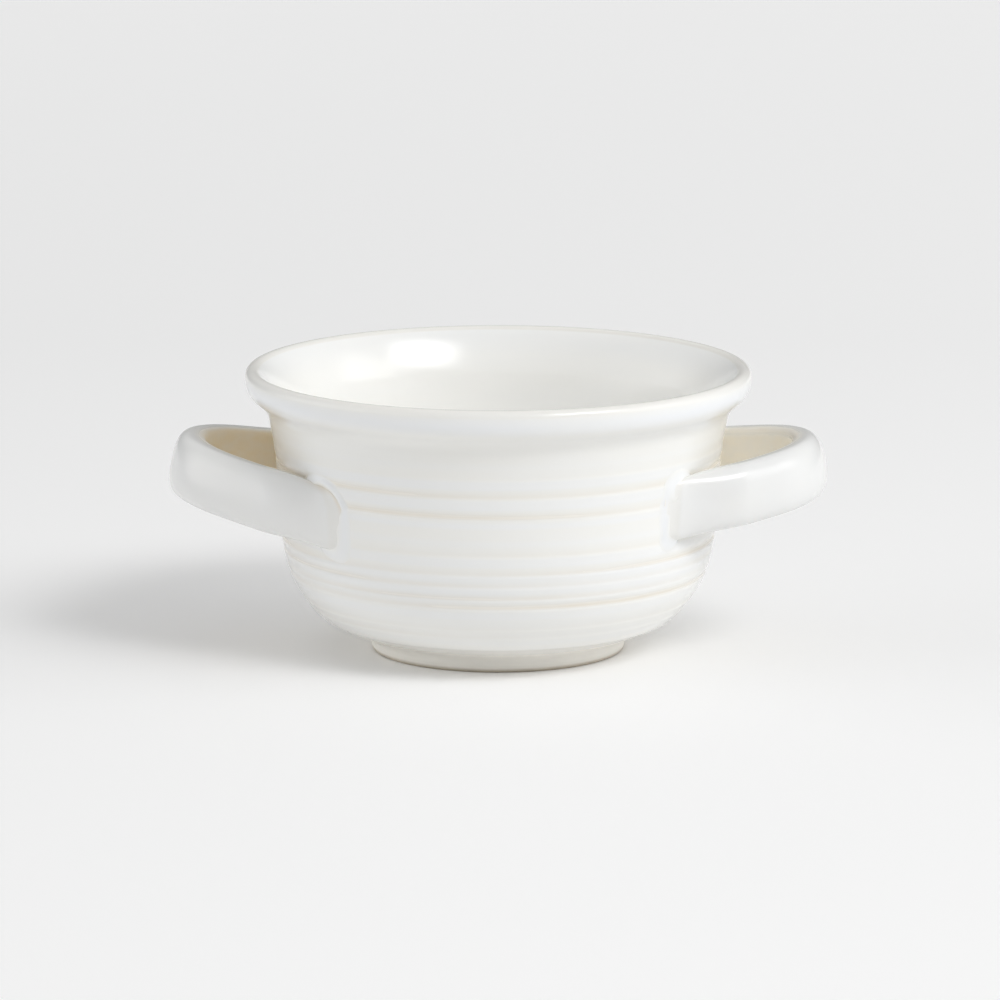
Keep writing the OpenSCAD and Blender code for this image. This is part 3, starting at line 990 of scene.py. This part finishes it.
def build_slip(name, seat):
    """A concave fillet of slip round one strap end, small in the wedge and low past the thumbed end."""
    strap = seat.strap
    to_tip = seat.to_tip
    up = np.sin(seat.round)
    wedge = ramp(to_tip, *SLIP_WEDGE)
    low = smooth(-2 * up)
    end_from = SLIP_END[0] + SLIP_END_LOW[0] * low
    end_over = SLIP_END[1] - SLIP_END_LOW[1] * low
    endward = smooth((end_from - to_tip) / end_over)
    seam = strap.seam ** 2 * ramp(up, *SLIP_SEAM) * smooth((SLIP_SEAM_TO_TIP - to_tip) / SLIP_SEAM_TO_TIP)
    size = 1 - SLIP_WEDGE_LESS * wedge - SLIP_END_LESS * endward * (1 - SLIP_LOW_MORE * low)
    size = SLIP_R * size * (1 - SLIP_SEAM_LESS * seam)
    spread = SLIP_SPREAD * (1 - SLIP_WEDGE_LESS * wedge)
    flush = np.zeros(SLIP_STATIONS)
    strap_q = soften(seat.outline(size))
    foot_q = soften(widest(seat.outline(flush)))
    corner = seat.wall_point(foot_q, CORNER_RISE * size + CORNER_LIFT + CORNER_END_LIFT * endward)
    on_strap = seat.wall_point(strap_q - SLIP_OVERLAP, size)
    on_wall = seat.wall_point(foot_q + spread, flush - SLIP_TUCK)
    bead = seat.wall_point(foot_q + BEAD_OUT * spread, SLIP_BEAD * seam) - seat.wall_point(foot_q, flush)
    flat_toe = seat.wall_point(foot_q + TOE_OUT * spread, flush)
    c1 = on_strap + QUARTER_ARC * (corner - on_strap) + seam[:, None] * bead
    c2 = on_wall + QUARTER_ARC * (flat_toe - on_wall)
    t = np.linspace(0, 1, SLIP_ROWS)[:, None, None]
    face = (1 - t) ** 3 * on_strap + 3 * t * (1 - t) ** 2 * c1 + 3 * t * t * (1 - t) * c2 + t ** 3 * on_wall
    hidden = np.stack([
        seat.wall_point(foot_q + HIDDEN_OUT * spread, flush - BURY),
        seat.wall_point(foot_q - HIDDEN_IN, flush - BURY),
        seat.wall_point(strap_q - HIDDEN_STRAP_IN, HIDDEN_UNDER * size),
    ])
    turn = np.arctan2(face[..., 1], face[..., 0])
    sunk = ring_cut(face[..., 2], turn) * smooth(t[..., 0])
    face[..., 0] -= sunk * np.cos(turn)
    face[..., 1] -= sunk * np.sin(turn)
    grid = np.concatenate([face, hidden])
    rows = len(grid)
    down = np.linspace(0, 1, SLIP_ROWS)
    pooled = np.concatenate([hump((down - 0.5) / SLIP_POOL_OVER), np.ones(len(hidden))])
    thick = pooled[:, None] * (1 - SLIP_POOL_WEDGE_LESS * wedge)[None, :]
    bare = np.repeat(SLIP_WIPED * strap.raw ** 2 * ramp(to_tip, *SLIP_WIPED_TIP)[None, :], rows, axis=0)
    # Painted shade with the tan of thin glaze along the slip's edge at the crease
    thin = SLIP_CREASE_THIN_AND_SHADE * hump(down / SLIP_CREASE_THIN_AND_SHADE_OVER)[:, None] * seam[None, :]
    thin = np.concatenate([thin, np.zeros((len(hidden), SLIP_STATIONS))])
    masks = {"glaze_thin": thin.ravel(), "glaze_thick": thick.ravel(), "glaze_bare": bare.ravel()}
    faces = grid_faces(rows, SLIP_STATIONS, close_rows=True)
    return make_mesh(name, grid.reshape(-1, 3), faces, masks, pooled_glaze)


# The pieces in the frame

def add_piece(piece, node_name):
    """Sets a piece in the frame: it rides on the body and stands for its solid."""
    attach(piece, "root")
    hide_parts(node_name)


add_piece(build_bowl(), "bowl_body")
add_piece(build_foot(), "foot_ring")
for hand, facts in HANDLES.items():
    strap = Strap(**facts)
    handle = build_handle(f"crock_{hand}_handle", strap, strap_glaze[hand])
    add_piece(handle, f"{hand}_handle")
    for where, sign in (("front", -1), ("rear", 1)):
        slip = build_slip(f"crock_{hand}_{where}_slip", Seat(strap, sign))
        add_piece(slip, f"{hand}_{where}_slip")


# Floor, light and camera

def build_floor():
    """A wide pale floor that also makes the backdrop, a little lighter far behind the crock."""
    a = FLOOR_HALF
    mesh = bpy.data.meshes.new("floor")
    mesh.from_pydata([(-a, -a, 0), (a, -a, 0), (a, a, 0), (-a, a, 0)], [], [(0, 1, 2, 3)])
    material = bpy.data.materials.new("Floor paper")
    material.use_nodes = True
    tree = material.node_tree
    shader = tree.nodes["Principled BSDF"]
    parts = node(tree, "ShaderNodeSeparateXYZ")
    tree.links.new(node(tree, "ShaderNodeTexCoord").outputs["Object"], parts.inputs[0])
    white = remap(tree, parts.outputs["Y"], *FLOOR_WHITE_Y, *FLOOR_WHITE)
    glow = remap(tree, parts.outputs["Y"], *FLOOR_GLOW_Y, *FLOOR_GLOW)
    tree.links.new(white, shader.inputs["Base Color"])
    tree.links.new(glow, shader.inputs["Emission Color"])
    shader.inputs["Emission Strength"].default_value = 1.0
    shader.inputs["Roughness"].default_value = 0.7
    shader.inputs["Specular IOR Level"].default_value = 0.2
    mesh.materials.append(material)
    floor = bpy.data.objects.new("floor", mesh)
    bpy.context.scene.collection.objects.link(floor)


def soft_box(name, azimuth, elevation, distance, width, height, watts, even):
    """A soft box aimed at the crock: azimuth to the right of the camera, elevation above the floor.

    Its glow is level over the share even of its half width and half height, then falls to nothing.
    """
    lamp = bpy.data.lights.new(name, "AREA")
    lamp.shape = "RECTANGLE"
    lamp.size = width
    lamp.size_y = height
    lamp.energy = watts
    lamp.use_nodes = True
    tree = lamp.node_tree
    spot = node(tree, "ShaderNodeSeparateXYZ")
    tree.links.new(node(tree, "ShaderNodeNewGeometry").outputs["Parametric"], spot.inputs[0])
    glow = 1.0
    for place in (spot.outputs["X"], spot.outputs["Y"]):
        off = math_node(tree, "ABSOLUTE", math_node(tree, "SUBTRACT", place, 0.5), 0.0)
        glow = math_node(tree, "MULTIPLY", remap(tree, off, 0.5 * even, 0.5, 2 / (1 + even), 0.0), glow)
    tree.links.new(glow, tree.nodes["Emission"].inputs["Strength"])
    holder = bpy.data.objects.new(name, lamp)
    bpy.context.scene.collection.objects.link(holder)
    a, e = math.radians(azimuth), math.radians(elevation)
    away = Vector((math.sin(a) * math.cos(e), -math.cos(a) * math.cos(e), math.sin(e)))
    holder.location = Vector(LIGHT_AIM) + distance * away
    holder.rotation_euler = away.to_track_quat("Z", "Y").to_euler()


def build_world():
    """Pale room light, bright on the left, even overhead, dim low down in front and behind."""
    world = bpy.data.worlds.new("Studio")
    bpy.context.scene.world = world
    world.use_nodes = True
    tree = world.node_tree
    back = tree.nodes["Background"]
    place = node(tree, "ShaderNodeTexCoord")
    parts = node(tree, "ShaderNodeSeparateXYZ")
    tree.links.new(place.outputs["Generated"], parts.inputs[0])
    left = remap(tree, parts.outputs["X"], *LEFT_X, LEFT_GLOW, FRONT_LOW)
    right = remap(tree, parts.outputs["X"], *RIGHT_X, 0.0, RIGHT_GLOW)
    front_low = math_node(tree, "ADD", left, right)
    rise = remap(tree, parts.outputs["Z"], *FRONT_RISE_Z, 0.0, 1.0)
    lift = math_node(tree, "MULTIPLY", math_node(tree, "SUBTRACT", SKY, front_low), rise)
    front = math_node(tree, "ADD", front_low, lift)
    back_sky = remap(tree, parts.outputs["Z"], *BACK_RISE_Z, BACK_LOW, SKY)
    behind = remap(tree, parts.outputs["Y"], *BEHIND_Y, 0.0, 1.0)
    change = math_node(tree, "MULTIPLY", math_node(tree, "SUBTRACT", back_sky, front), behind)
    tree.links.new(math_node(tree, "ADD", front, change), back.inputs["Color"])
    back.inputs["Strength"].default_value = 1.0


def build_camera():
    """A long lens at the photograph's viewing angle."""
    elevation = math.radians(CAMERA_UP)
    camera = bpy.data.cameras.new("camera")
    camera.lens = CAMERA_LENS
    camera.sensor_width = SENSOR_W
    holder = bpy.data.objects.new("camera", camera)
    bpy.context.scene.collection.objects.link(holder)
    away = Vector((0, -math.cos(elevation), math.sin(elevation)))
    holder.location = Vector(CAMERA_AIM) + CAMERA_AWAY * away
    holder.rotation_euler = away.to_track_quat("Z", "Y").to_euler()
    bpy.context.scene.camera = holder


build_floor()
build_world()
soft_box("key", azimuth=46, elevation=43, distance=3.4, width=2.4, height=1.5, watts=46.3, even=0.25)
soft_box("side", azimuth=78, elevation=27, distance=3.4, width=2.6, height=1.4, watts=12.5, even=0.5)
build_camera()
bpy.context.scene.view_settings.view_transform = "Standard"
